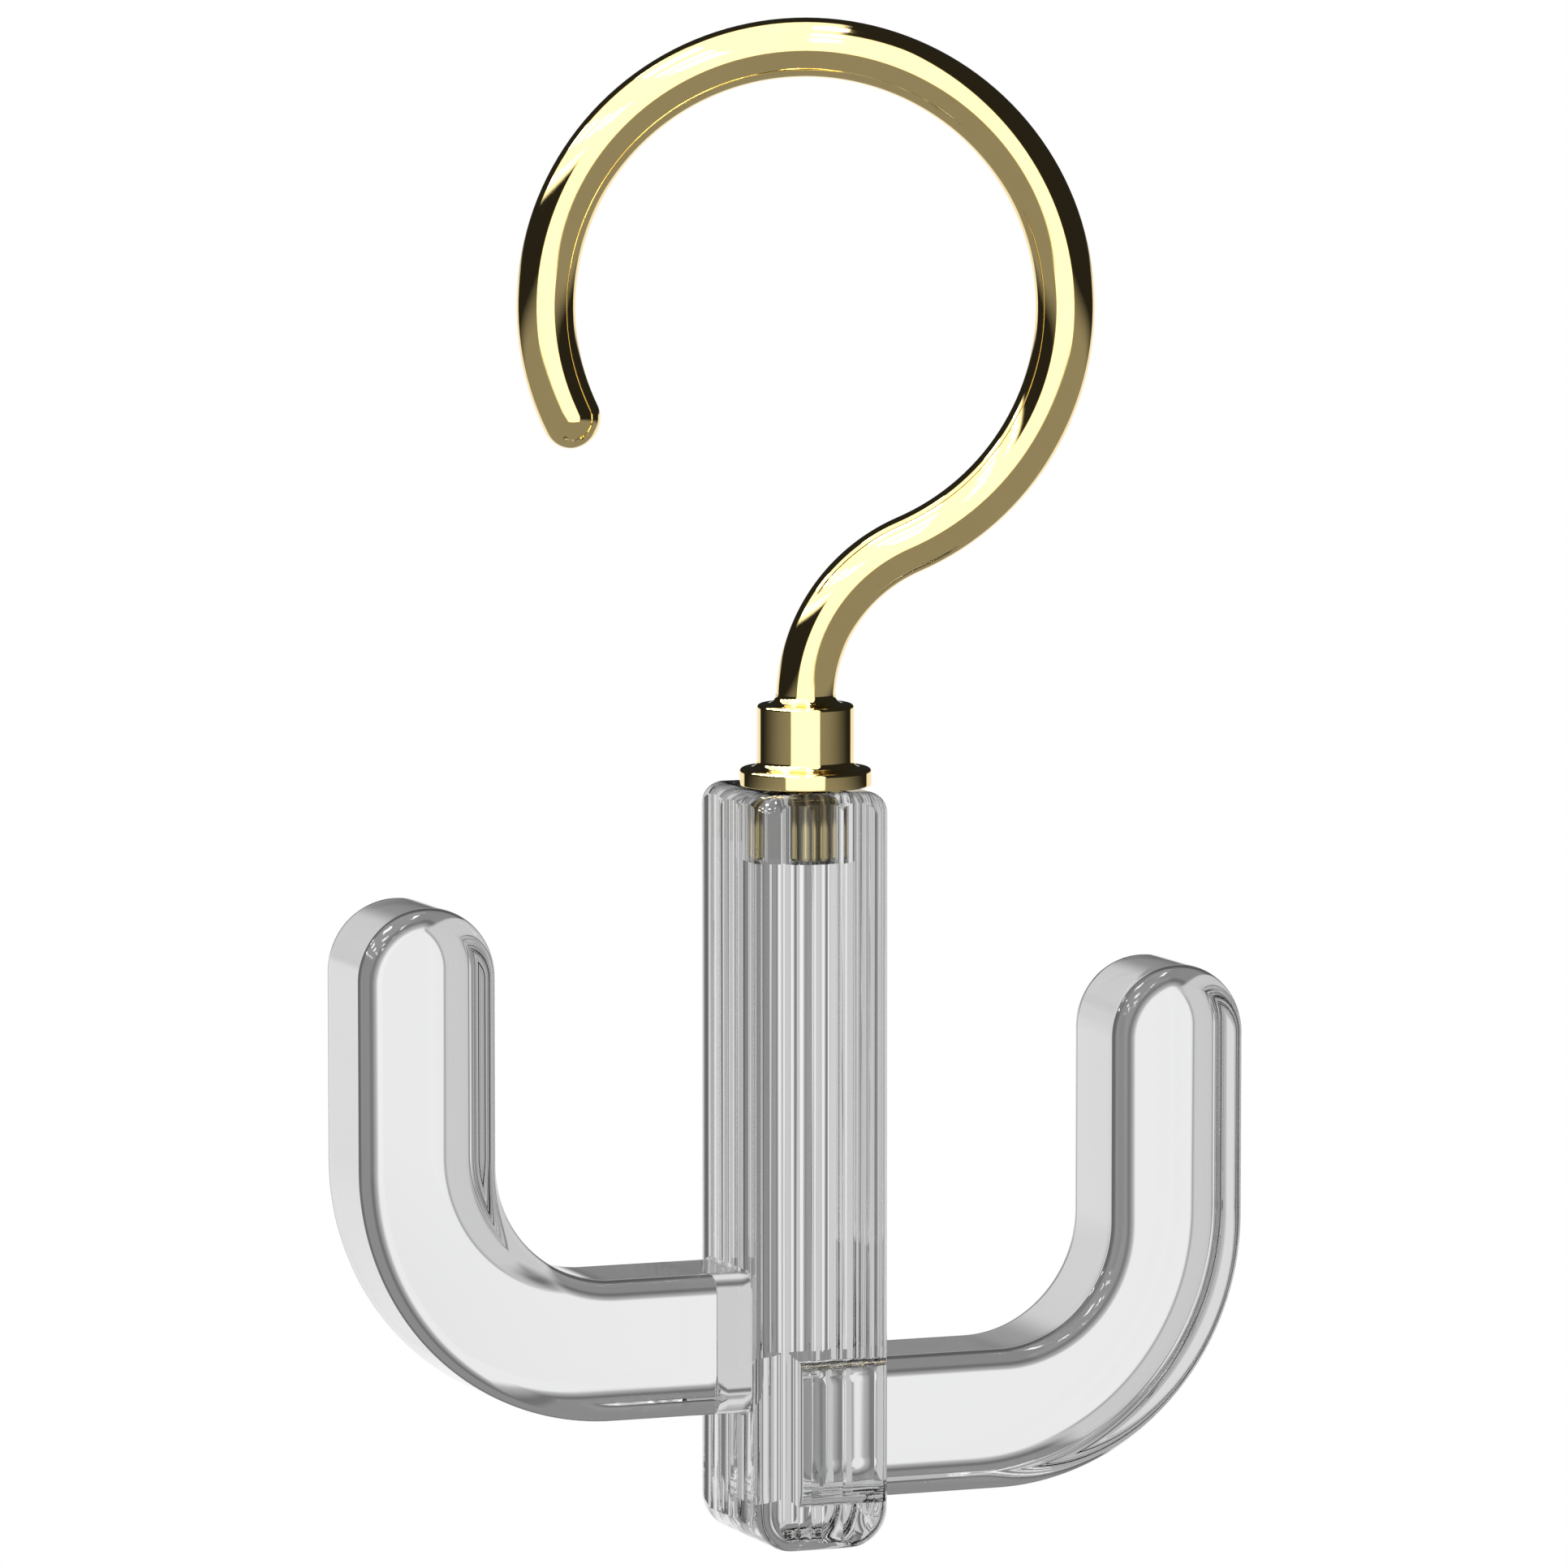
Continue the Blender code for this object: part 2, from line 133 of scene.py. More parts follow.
# Materials: scales of the noise, pairs of colours, and pairs of the lowest and highest roughness
NOISE_LOW = 0.3
NOISE_HIGH = 0.7
NOISE_DETAIL = 3.0
METAL_TONE_SCALE = 240
METAL_ROUGHNESS_SCALE = 900
METAL_BUMP_SCALE = 1400
METAL_BUMP_STRENGTH = 0.3
GOLD_TONES = ((0.93, 0.725, 0.32), (0.96, 0.755, 0.34))
GOLD_ROUGHNESS = (0.03, 0.05)
GOLD_BUMP = 0.000002
BRASS_ROUGHNESS = (0.06, 0.12)
BRASS_BUMP = 0.000004
STEEL_TONES = ((0.42, 0.41, 0.39), (0.5, 0.49, 0.47))
STEEL_ROUGHNESS = (0.2, 0.3)
STEEL_BUMP = 0.000004
# The bush's colours: dark and bright bands round it, which are painted shade and painted highlight for the
# lit and shaded ridges of its knurl, and painted shade over its upper part, under the collar's flange
PAINTED_SHADE_AND_HIGHLIGHT_TONES = ((0.10, 0.075, 0.03), (0.86, 0.72, 0.38))
RIBS = 15
RIB_PAINTED_SHADE_CONTRAST = 0.25
RIB_MIDDLE = 0.5
UPPER_PAINTED_SHADE_SHARE = 0.45
UPPER_PAINTED_SHADE_BLEND = 0.1
UPPER_PAINTED_SHADE_DEPTH = 0.3
ACRYLIC_TONES = ((0.975, 0.98, 0.98), (0.985, 0.985, 0.985))
ACRYLIC_TONE_SCALE = 60
ACRYLIC_ROUGHNESS = (0.0, 0.006)
ACRYLIC_ROUGHNESS_SCALE = 500
ACRYLIC_BUMP = 0.00001
ACRYLIC_BUMP_SCALE = 90
ACRYLIC_BUMP_STRENGTH = 0.15
BUMP_DETAIL = 2
ARM_IOR = 1.33
POST_IOR = 1.45

# The photograph's view: its angles, metres for a pixel at the post, and the focal length,
# image size and aim in pixels
YAW = radians(21.519)
PITCH = radians(6.381)
PIXEL = 0.0000874
FOCAL = 13632.3
PHOTO_SIZE = 1932
AIM_RIGHT = -12.644
AIM_UP = 2.364
SENSOR = 36
CLIP_START = 0.05
CLIP_END = 200

# The floor
FLOOR_RADIUS = 60.0
FLOOR_THICKNESS = 0.005
FLOOR_SIDES = 48
FLOOR_BELOW_POST = 0.12

# The least that a slope is divided by
LEAST_DIVISOR = 0.02

# Surroundings as the surfaces mirror them. Each pair says where a panel of light ends and
# how soft its edge is.
SOFTBOX_LEVEL = 1.85
FRONT_FACING = (0.05, 0.03)
FRONT_HALF_WIDTH = (0.70, 0.06)
FRONT_LOW = (-0.30, 0.05)
FRONT_HIGH = (1.5, 0.2)
OVER_FACING = (-0.34, 0.06)
OVER_SIDE = (0.0, 0.03)
OVER_LEFT_SLOPE = 0.38
OVER_RIGHT_SLOPE = 0.15
CELL_LEVEL = 30.0
CELLS_LOW = (0.3, 0.03)
CELL_PERIOD = 0.8
CELL_EDGE = (0.35, 0.15)
BACK_FACING = (0.05, 0.03)
BACK_HALF_WIDTH = (1.0, 0.1)
BACK_HIGH = (0.13, 0.06)
BACK_LOW = (-0.55, 0.1)
GROUND_LEVEL = 0.30
GROUND_HIGH = (-0.12, 0.1)
MIRRORED_LEAST = 0.02

# Surroundings as seen through the acrylic: rings about the view's axis, each a slope
# from it and the brightness there. What counts as leftward is a slope to the left of more
# than LEFT_SHARE of the slope from the axis. UNDER is a darker patch towards the ground.
RING_REACH = 4.0
RIGHTWARD_RINGS = (
    (0.0, 0.86), (0.07, 0.86), (0.10, 0.45), (0.17, 0.16), (0.20, 0.16), (0.23, 0.25), (0.50, 0.25),
    (0.60, 0.13), (0.84, 0.13), (0.97, 0.74), (1.4, 0.74),
)
LEFTWARD_RINGS = (
    (0.0, 0.86), (0.06, 0.86), (0.08, 0.30), (0.10, 0.60), (0.72, 0.60), (0.79, 0.17), (0.86, 0.17),
    (0.88, 0.62), (0.96, 0.62), (0.98, 0.17), (1.02, 0.17), (1.14, 0.72), (1.4, 0.72), (1.6, 0.48),
    (2.6, 0.42), (3.2, 0.19), (4.0, 0.19),
)
FRONT_RINGS = (
    (0.0, 0.86), (0.10, 0.86), (0.13, 0.42), (0.30, 0.42), (0.36, 0.80), (0.60, 0.80), (0.66, 0.28),
    (0.95, 0.28), (1.0, 0.62), (1.08, 0.62), (1.15, 0.36), (1.5, 0.36), (2.0, 0.50),
)
LEFT_SHARE = 0.45
LEFT_EDGE = (0.0, 0.02)
SEEN_FACING = (0.02, 0.04)
UNDER_SHADE = 0.52
UNDER_HIGH = (0.50, 0.08)
UNDER_HALF_WIDTH = (0.80, 0.2)
SEEN_LEAST = 0.10

# Places that follow from the sizes
arm_half = ARM_FACE / 2
bush_bore = SHANK_RADIUS + GAP
loop_centre = (0.0, ROD_RADIUS - LOOP_RADIUS + CROWN_RISE)
neck_drop = sqrt((LOOP_RADIUS + NECK_RADIUS) ** 2 - NECK_RADIUS ** 2)
neck_centre = (NECK_RADIUS, loop_centre[1] - neck_drop)
post_top = neck_centre[1] - NECK_ABOVE_POST
post_place = Vector((-POST_LEFT_OF_AXIS, POST_BEHIND_AXIS, post_top))
look = Vector((sin(YAW) * cos(PITCH), cos(YAW) * cos(PITCH), -sin(PITCH)))
side_way = Vector((cos(YAW), -sin(YAW), 0.0))
up_way = side_way.cross(look)


def arc(centre, radius, start, end, steps):
    angles = [start + (end - start) * step / steps for step in range(steps + 1)]
    return [(centre[0] + radius * cos(a), centre[1] + radius * sin(a)) for a in angles]


def circle(radius, height, sides):
    turns = [2 * pi * i / sides for i in range(sides)]
    return [(radius * cos(a), radius * sin(a), height) for a in turns]


def add_object(name, mesh, place=(0, 0, 0), turn=0.0):
    mesh.transform(Matrix.Translation(place) @ Matrix.Rotation(turn, 4, "Z"))
    obj = bpy.data.objects.new(name, mesh)
    bpy.context.scene.collection.objects.link(obj)
    return obj


def finish_normals(obj):
    obj.data.shade_smooth()
    obj.data.set_sharp_from_angle(angle=SHARP_ANGLE)
    weighted = obj.modifiers.new("normals", "WEIGHTED_NORMAL")
    weighted.keep_sharp = True
    weighted.weight = NORMAL_WEIGHT
    return obj


def from_bmesh(name, bm):
    bmesh.ops.recalc_face_normals(bm, faces=bm.faces)
    mesh = bpy.data.meshes.new(name)
    bm.to_mesh(mesh)
    bm.free()
    return mesh


def rings_mesh(name, rings, closed_loop=False):
    """Quads between equal rings of points, with caps at both ends unless the rings close on each other."""
    bm = bmesh.new()
    rows = [[bm.verts.new(point) for point in ring] for ring in rings]
    pairs = list(zip(rows, rows[1:]))
    if closed_loop:
        pairs.append((rows[-1], rows[0]))
    for low, high in pairs:
        for i in range(len(low)):
            j = (i + 1) % len(low)
            bm.faces.new((low[i], low[j], high[j], high[i]))
    if not closed_loop:
        bm.faces.new(rows[0])
        bm.faces.new(rows[-1])
    return from_bmesh(name, bm)


def turned_mesh(name, profile, sides=ROUND_SIDES, closed_loop=True):
    """A turned shape about Z from (radius, height) points."""
    return rings_mesh(name, [circle(radius, height, sides) for radius, height in profile], closed_loop)


def prism_bmesh(outline, place, along):
    bm = bmesh.new()
    face = bm.faces.new([bm.verts.new(place(*point)) for point in outline])
    swept = bmesh.ops.extrude_face_region(bm, geom=[face])
    moved = [item for item in swept["geom"] if isinstance(item, bmesh.types.BMVert)]
    bmesh.ops.translate(bm, verts=moved, vec=along)
    bmesh.ops.recalc_face_normals(bm, faces=bm.faces)
    return bm


def round_edges(bm, edges, radius, segments):
    bmesh.ops.bevel(bm, geom=edges, offset=radius, segments=segments, profile=ROUND_PROFILE, affect="EDGES")


def round_rim(bm, y, radius, segments, keep_x=None):
    """Rounds the edges that lie at depth y, apart from one that lies at keep_x."""
    rim = [e for e in bm.edges if all(abs(v.co.y - y) < NEAR for v in e.verts)]
    if keep_x is not None:
        rim = [e for e in rim if any(abs(abs(v.co.x) - keep_x) > NEAR for v in e.verts)]
    round_edges(bm, rim, radius, segments)


def cut(obj, operation, mesh, place=(0, 0, 0), turn=0.0):
    """Boolean with a throwaway cutter; the result replaces the object's mesh."""
    other = add_object("cutter", mesh, place, turn)
    boolean = obj.modifiers.new("cut", "BOOLEAN")
    boolean.operation = operation
    boolean.solver = "EXACT"
    boolean.object = other
    bpy.context.view_layer.update()
    result = bpy.data.meshes.new_from_object(obj.evaluated_get(bpy.context.evaluated_depsgraph_get()))
    obj.modifiers.clear()
    obj.data = result
    bpy.data.objects.remove(other, do_unlink=True)


def rod_stations():
    """Centre, direction and share of the radius along the rod, from its rounded tip to its foot."""
    meeting = atan2(-neck_drop, NECK_RADIUS)
    tip_sweep = ROD_RADIUS / LOOP_RADIUS
    start = TIP_ANGLE - tip_sweep
    stations = []
    for step in range(TIP_STEPS, 0, -1):
        lean = asin(step / TIP_STEPS_TO_POLE)
        at = TIP_ANGLE - tip_sweep * (1 - sin(lean))
        stations.append((arc(loop_centre, LOOP_RADIUS, at, at, 1)[0], at, cos(lean)))
    for step in range(LOOP_STEPS + 1):
        at = start + (meeting - start) * step / LOOP_STEPS
        stations.append((arc(loop_centre, LOOP_RADIUS, at, at, 1)[0], at, 1.0))
    for step in range(1, NECK_STEPS + 1):
        at = meeting - meeting * step / NECK_STEPS
        stations.append((arc(neck_centre, NECK_RADIUS, at + pi, at + pi, 1)[0], at, 1.0))
    foot = post_top + GAP + COLLAR_FLOOR + GAP
    for share in STEM_SHARES:
        stations.append(((0.0, neck_centre[1] + (foot - neck_centre[1]) * share), 0.0, 1.0))
    return stations


def rod_rings():
    rings = []
    for (across, height), at, share in rod_stations():
        section = circle(ROD_RADIUS * share, 0.0, ROD_SIDES)
        rings.append([(across + out * cos(at), depth, height + out * sin(at)) for out, depth, _ in section])
    return rings


def make_hook():
    groove = post_top - BUSH_LENGTH + CLIP_CHAMBER_DEPTH
    top = post_top + BARREL_TOP / 2
    foot = post_top - SHANK_LENGTH
    obj = add_object("hook_rod_fine", rings_mesh("hook_rod_fine", rod_rings()), (0, 0, 0), HOOK_YAW)
    shank = [
        (AXIS_RADIUS, top), (SHANK_RADIUS, top), (SHANK_RADIUS, groove), (GROOVE_RADIUS, groove),
        (GROOVE_RADIUS, groove - GROOVE_WIDTH), (SHANK_RADIUS, groove - GROOVE_WIDTH),
        (SHANK_RADIUS, foot), (AXIS_RADIUS, foot),
    ]
    cut(obj, "UNION", turned_mesh("shank", shank, ROD_SIDES, False), (0, 0, 0), HOOK_YAW)
    return finish_normals(obj)


def make_collar():
    flange_top = GAP + FLANGE_THICKNESS
    rise = SHOULDER_TOP - BARREL_TOP
    lip = ROD_RADIUS + COLLAR_CLEARANCE
    edge = COLLAR_EDGE
    foot = FLANGE_FOOT_EDGE
    narrowing = SHOULDER_RADIUS - lip
    sweep = [step / SHOULDER_STEPS * pi / 2 for step in range(SHOULDER_STEPS + 1)]
    profile = [(SHOULDER_RADIUS - narrowing * cos(a), SHOULDER_TOP - rise * sin(a)) for a in sweep]
    profile += arc((BARREL_RADIUS - edge, BARREL_TOP - edge), edge, pi / 2, 0, COLLAR_EDGE_STEPS)
    profile += arc((BARREL_RADIUS + COLLAR_COVE, flange_top + COLLAR_COVE), COLLAR_COVE, pi, 1.5 * pi,
                   COLLAR_EDGE_STEPS)
    profile += arc((FLANGE_RADIUS - edge, flange_top - edge), edge, pi / 2, 0, COLLAR_EDGE_STEPS)
    profile += arc((FLANGE_RADIUS - foot, GAP + foot), foot, 0, -pi / 2, FLANGE_FOOT_STEPS)
    profile += [(bush_bore, GAP), (bush_bore, GAP + COLLAR_FLOOR), (lip, GAP + COLLAR_FLOOR)]
    mesh = turned_mesh("swivel_collar_fine", profile)
    return finish_normals(add_object("swivel_collar_fine", mesh, (0, 0, post_top), HOOK_YAW))


def make_clip():
    """An open ring with its mouth to the back, its flat edges broken all round."""
    inner = GROOVE_RADIUS + GAP
    outer_gap = asin(CLIP_MOUTH / 2 / CLIP_RADIUS)
    inner_gap = asin(CLIP_MOUTH / 2 / inner)
    outline = arc((0.0, 0.0), CLIP_RADIUS, pi / 2 + outer_gap, 2.5 * pi - outer_gap, CLIP_STEPS)
    outline += arc((0.0, 0.0), inner, 2.5 * pi - inner_gap, pi / 2 + inner_gap, CLIP_STEPS)
    low = CLIP_CHAMBER_DEPTH - BUSH_LENGTH - GAP - CLIP_THICKNESS
    bm = prism_bmesh(outline, lambda x, y: (x, y, low), Vector((0, 0, CLIP_THICKNESS)))
    flat = [e for e in bm.edges if abs(e.verts[0].co.z - e.verts[1].co.z) < LEVEL_WITHIN]
    round_edges(bm, flat, CLIP_EDGE, CLIP_EDGE_SEGMENTS)
    mesh = from_bmesh("retaining_clip_fine", bm)
    return finish_normals(add_object("retaining_clip_fine", mesh, (0, 0, post_top), HOOK_YAW))


def make_bush():
    chamber = CLIP_RADIUS + GAP
    chamber_top = CLIP_CHAMBER_DEPTH - BUSH_LENGTH
    profile = [
        (BUSH_RADIUS - BUSH_CHAMFER, 0.0), (BUSH_RADIUS, -BUSH_CHAMFER),
        (BUSH_RADIUS, BUSH_CHAMFER - BUSH_LENGTH), (BUSH_RADIUS - BUSH_CHAMFER, -BUSH_LENGTH),
        (chamber, -BUSH_LENGTH), (chamber, chamber_top), (bush_bore, chamber_top), (bush_bore, 0.0),
    ]
    mesh = turned_mesh("socket_bush_fine", profile)
    return finish_normals(add_object("socket_bush_fine", mesh, (0, 0, post_top)))


def block_outline():
    """The post's front view: an upright block with rounded corners."""
    half = POST_WIDTH / 2
    top = POST_TOP_CORNER
    low = POST_BOTTOM_CORNER
    outline = arc((half - top, -top), top, 0, pi / 2, POST_CORNER_STEPS)
    outline += arc((top - half, -top), top, pi / 2, pi, POST_CORNER_STEPS)
    outline += arc((low - half, low - POST_HEIGHT), low, pi, 1.5 * pi, POST_CORNER_STEPS)
    outline += arc((half - low, low - POST_HEIGHT), low, 1.5 * pi, 2 * pi, POST_CORNER_STEPS)
    return outline


def fluted_side(half_width, face):
    """Hollow flutes side by side, with ridges near the face."""
    pitch = 2 * half_width / FLUTES
    radius = ((pitch / 2) ** 2 + FLUTE_DEPTH ** 2) / (2 * FLUTE_DEPTH)
    lean = asin(pitch / 2 / radius)
    climb = OVERRUN / 2
    points = [(-half_width - climb, face + climb)]
    for flute in range(FLUTES):
        centre = (-half_width + pitch * (flute + 0.5), face - FLUTE_DEPTH + radius)
        flute_points = arc(centre, radius, 1.5 * pi - lean, 1.5 * pi + lean, FLUTE_STEPS)
        points += flute_points if flute == 0 else flute_points[1:]
    points.append((half_width + climb, face + climb))
    return points


def fluted_outline():
    """The post's plan, wider than the post at its corners, so that they stay rounded."""
    half_width = POST_WIDTH / 2
    half_depth = POST_DEPTH / 2
    front = fluted_side(half_width - EDGE_ROUND, half_depth - FLUTE_RELIEF)
    side = fluted_side(half_depth - EDGE_ROUND, half_width - FLUTE_RELIEF)
    wide = half_width + OVERRUN
    deep = half_depth + OVERRUN
    outline = front + [(wide, deep)]
    outline += [(out, -along) for along, out in side] + [(wide, -deep)]
    outline += [(-along, -out) for along, out in front] + [(-wide, -deep)]
    outline += [(-out, along) for along, out in side] + [(-wide, deep)]
    return outline


def arm_drop(side):
    return LEFT_ARM_DROP if side < 0 else LEFT_ARM_DROP + RIGHT_BELOW_LEFT


def root_reach(side):
    return CAD_POST_HALF - (LEFT_ROOT_DEPTH if side < 0 else RIGHT_ROOT_DEPTH)


def socket_mesh(side):
    half_y = ARM_DEPTH / 2 + GAP
    half_z = arm_half + GAP
    front = EDGE_ROUND + GAP
    back = ARM_BACK_ROUND + GAP
    outline = arc((front - half_y, half_z - front), front, pi / 2, pi, SOCKET_STEPS)
    outline += arc((front - half_y, front - half_z), front, pi, 1.5 * pi, SOCKET_STEPS)
    outline += arc((half_y - back, back - half_z), back, 1.5 * pi, 2 * pi, SOCKET_STEPS)
    outline += arc((half_y - back, half_z - back), back, 0, pi / 2, SOCKET_STEPS)
    start = root_reach(side) - GAP
    length = POST_WIDTH / 2 + OVERRUN - start
    bm = prism_bmesh(outline, lambda y, z: (side * start, y + ARM_BEHIND_POST_MIDDLE, z - arm_drop(side)),
                     Vector((side * length, 0, 0)))
    return from_bmesh("socket", bm)


def make_post():
    half_depth = POST_DEPTH / 2
    bm = prism_bmesh(block_outline(), lambda x, z: (x, -half_depth, z), Vector((0, POST_DEPTH, 0)))
    round_rim(bm, -half_depth, EDGE_ROUND, POST_RIM_SEGMENTS)
    round_rim(bm, half_depth, EDGE_ROUND, POST_RIM_SEGMENTS)
    post = add_object("post_body_fine", from_bmesh("post_body_fine", bm), post_place)
    down = Vector((0, 0, -POST_HEIGHT - 2 * OVERRUN))
    fluted_bm = prism_bmesh(fluted_outline(), lambda x, y: (x, y, OVERRUN), down)
    cut(post, "INTERSECT", from_bmesh("fluted", fluted_bm), post_place)
    depth = BUSH_LENGTH + GAP
    radius = BUSH_RADIUS + GAP
    bore = [(AXIS_RADIUS, OVERRUN), (radius, OVERRUN), (radius, -depth), (AXIS_RADIUS, -depth)]
    cut(post, "DIFFERENCE", turned_mesh("bore", bore, ROUND_SIDES, False), (0, 0, post_top))
    cut(post, "DIFFERENCE", socket_mesh(-1), post_place)
    cut(post, "DIFFERENCE", socket_mesh(1), post_place)
    return finish_normals(post)


def make_arm(name, side):
    root = root_reach(side)
    mouth = CAD_POST_HALF + GAP
    bend = (ARM_REACH - ARM_BEND_RADIUS, ARM_BEND_RADIUS)
    outline = [(root, ROOT_TAPER - arm_half), (mouth, -arm_half)]
    outline += arc(bend, ARM_BEND_RADIUS + arm_half, -pi / 2, 0, ARM_OUTER_STEPS)
    outline += arc((ARM_REACH, ARM_RISE), arm_half, 0, pi, ARM_TIP_STEPS)
    outline += arc(bend, ARM_BEND_RADIUS - arm_half, 0, -pi / 2, ARM_INNER_STEPS)
    outline += [(mouth, arm_half), (root, arm_half - ROOT_TAPER)]
    outline = [(side * x, z - arm_drop(side)) for x, z in outline]
    front = ARM_BEHIND_POST_MIDDLE - ARM_DEPTH / 2
    bm = prism_bmesh(outline, lambda x, z: (x, front, z), Vector((0, ARM_DEPTH, 0)))
    round_rim(bm, front, EDGE_ROUND, ARM_RIM_SEGMENTS, root)
    round_rim(bm, front + ARM_DEPTH, ARM_BACK_ROUND, ARM_RIM_SEGMENTS, root)
    return finish_normals(add_object(name, from_bmesh(name, bm), post_place))


class Graph:
    """A node tree with short calls for the nodes that are used here; each call returns an output socket."""

    def __init__(self, tree):
        self.nodes = tree.nodes
        self.links = tree.links

    def put(self, value, socket):
        """Sets the socket to a number, or links another socket to it."""
        if isinstance(value, (int, float)):
            socket.default_value = value
        else:
            self.links.new(value, socket)

    def calc(self, operation, first, second=0.0):
        math = self.nodes.new("ShaderNodeMath")
        math.operation = operation
        self.put(first, math.inputs[0])
        self.put(second, math.inputs[1])
        return math.outputs[0]

    def times(self, first, second):
        return self.calc("MULTIPLY", first, second)

    def inverse(self, value):
        return self.calc("SUBTRACT", 1.0, value)

    def ratio(self, first, second):
        return self.calc("DIVIDE", first, self.calc("MAXIMUM", second, LEAST_DIVISOR))

    def above(self, value, edge, soft):
        """0 below the edge and 1 above it, with a soft change between."""
        spread = self.nodes.new("ShaderNodeMapRange")
        spread.interpolation_type = "SMOOTHSTEP"
        spread.inputs["From Min"].default_value = edge - soft
        spread.inputs["From Max"].default_value = edge + soft
        self.links.new(value, spread.inputs["Value"])
        return spread.outputs["Result"]

    def below(self, value, edge, soft):
        return self.inverse(self.above(value, edge, soft))

    def product(self, *parts):
        value = parts[0]
        for part in parts[1:]:
            value = self.times(value, part)
        return value

    def brightest(self, *values):
        value = values[0]
        for other in values[1:]:
            value = self.calc("MAXIMUM", value, other)
        return value

    def checks(self, value):
        """Evenly spaced cells: 1 inside them and 0 between."""
        wave = self.calc("SINE", self.times(value, 2 * pi / CELL_PERIOD))
        return self.above(wave, *CELL_EDGE)

    def banded(self, value, rings):
        """Brightness by place along a ramp; the places run from 0 to RING_REACH."""
        ramp = self.nodes.new("ShaderNodeValToRGB")
        while len(ramp.color_ramp.elements) < len(rings):
            ramp.color_ramp.elements.new(1.0)
        for element, (place, level) in zip(ramp.color_ramp.elements, rings):
            element.position = place / RING_REACH
            element.color = (level, level, level, 1)
        self.links.new(self.calc("DIVIDE", value, RING_REACH), ramp.inputs["Fac"])
        return ramp.outputs["Color"]

    def noise(self, scale, detail=NOISE_DETAIL):
        place = self.nodes.new("ShaderNodeTexCoord")
        texture = self.nodes.new("ShaderNodeTexNoise")
        texture.inputs["Scale"].default_value = scale
        texture.inputs["Detail"].default_value = detail
        self.links.new(place.outputs["Object"], texture.inputs["Vector"])
        return texture.outputs["Fac"]

    def ranged(self, value, low, high):
        spread = self.nodes.new("ShaderNodeMapRange")
        spread.inputs["From Min"].default_value = NOISE_LOW
        spread.inputs["From Max"].default_value = NOISE_HIGH
        spread.inputs["To Min"].default_value = low
        spread.inputs["To Max"].default_value = high
        self.links.new(value, spread.inputs["Value"])
        return spread.outputs["Result"]

    def tinted(self, value, first, second):
        ramp = self.nodes.new("ShaderNodeValToRGB")
        for element, place, colour in zip(ramp.color_ramp.elements, (NOISE_LOW, NOISE_HIGH), (first, second)):
            element.position = place
            element.color = (*colour, 1)
        self.links.new(value, ramp.inputs["Fac"])
        return ramp.outputs["Color"]

    def bump(self, height, strength, distance):
        bump = self.nodes.new("ShaderNodeBump")
        bump.inputs["Strength"].default_value = strength
        bump.inputs["Distance"].default_value = distance
        self.links.new(height, bump.inputs["Height"])
        return bump.outputs["Normal"]

    def dot(self, source, direction):
        dot = self.nodes.new("ShaderNodeVectorMath")
        dot.operation = "DOT_PRODUCT"
        dot.inputs[1].default_value = direction
        self.links.new(source, dot.inputs[0])
        return dot.outputs["Value"]


def new_material(name):
    material = bpy.data.materials.new(name)
    material.use_nodes = True
    return material, Graph(material.node_tree), material.node_tree.nodes["Principled BSDF"]


def metal_finish(graph, shader, roughness, bump_distance):
    shader.inputs["Metallic"].default_value = 1.0
    graph.put(graph.ranged(graph.noise(METAL_ROUGHNESS_SCALE), *roughness), shader.inputs["Roughness"])
    grain = graph.noise(METAL_BUMP_SCALE, BUMP_DETAIL)
    graph.put(graph.bump(grain, METAL_BUMP_STRENGTH, bump_distance), shader.inputs["Normal"])


def metal(name, tones, roughness, bump_distance):
    material, graph, shader = new_material(name)
    metal_finish(graph, shader, roughness, bump_distance)
    graph.put(graph.tinted(graph.noise(METAL_TONE_SCALE), *tones), shader.inputs["Base Color"])
    return material


def brass_with_painted_shade(name):
    """Metal with ribs that run down its side, coloured as dark and bright bands: painted shade and painted
    highlight for the knurl's lit and shaded ridges. Its upper part, under the collar's flange, is darkened by
    painted shade.
    """
    material, graph, shader = new_material(name)
    metal_finish(graph, shader, BRASS_ROUGHNESS, BRASS_BUMP)
    place = graph.nodes.new("ShaderNodeTexCoord")
    apart = graph.nodes.new("ShaderNodeSeparateXYZ")
    graph.put(place.outputs["Object"], apart.inputs["Vector"])
    around = graph.calc("ARCTAN2", apart.outputs["Y"], apart.outputs["X"])
    # Ribs of painted shade and painted highlight, for the knurl's lit and shaded ridges
    ribs = graph.calc("SINE", graph.times(around, RIBS))
    shade = graph.calc("ADD", graph.times(ribs, RIB_PAINTED_SHADE_CONTRAST), RIB_MIDDLE)
    # Painted shade over the upper part of the bush, under the collar's flange
    shoulder = post_top - BUSH_LENGTH * UPPER_PAINTED_SHADE_SHARE
    upper = graph.above(apart.outputs["Z"], shoulder, BUSH_LENGTH * UPPER_PAINTED_SHADE_BLEND)
    shade = graph.calc("SUBTRACT", shade, graph.times(upper, UPPER_PAINTED_SHADE_DEPTH))
    graph.put(graph.tinted(shade, *PAINTED_SHADE_AND_HIGHLIGHT_TONES), shader.inputs["Base Color"])
    return material


def acrylic(name, ior):
    material, graph, shader = new_material(name)
    shader.inputs["Transmission Weight"].default_value = 1.0
    shader.inputs["IOR"].default_value = ior
    graph.put(graph.tinted(graph.noise(ACRYLIC_TONE_SCALE), *ACRYLIC_TONES), shader.inputs["Base Color"])
    haze = graph.noise(ACRYLIC_ROUGHNESS_SCALE)
    graph.put(graph.ranged(haze, *ACRYLIC_ROUGHNESS), shader.inputs["Roughness"])
    waves = graph.noise(ACRYLIC_BUMP_SCALE, BUMP_DETAIL)
    graph.put(graph.bump(waves, ACRYLIC_BUMP_STRENGTH, ACRYLIC_BUMP), shader.inputs["Normal"])
    return material


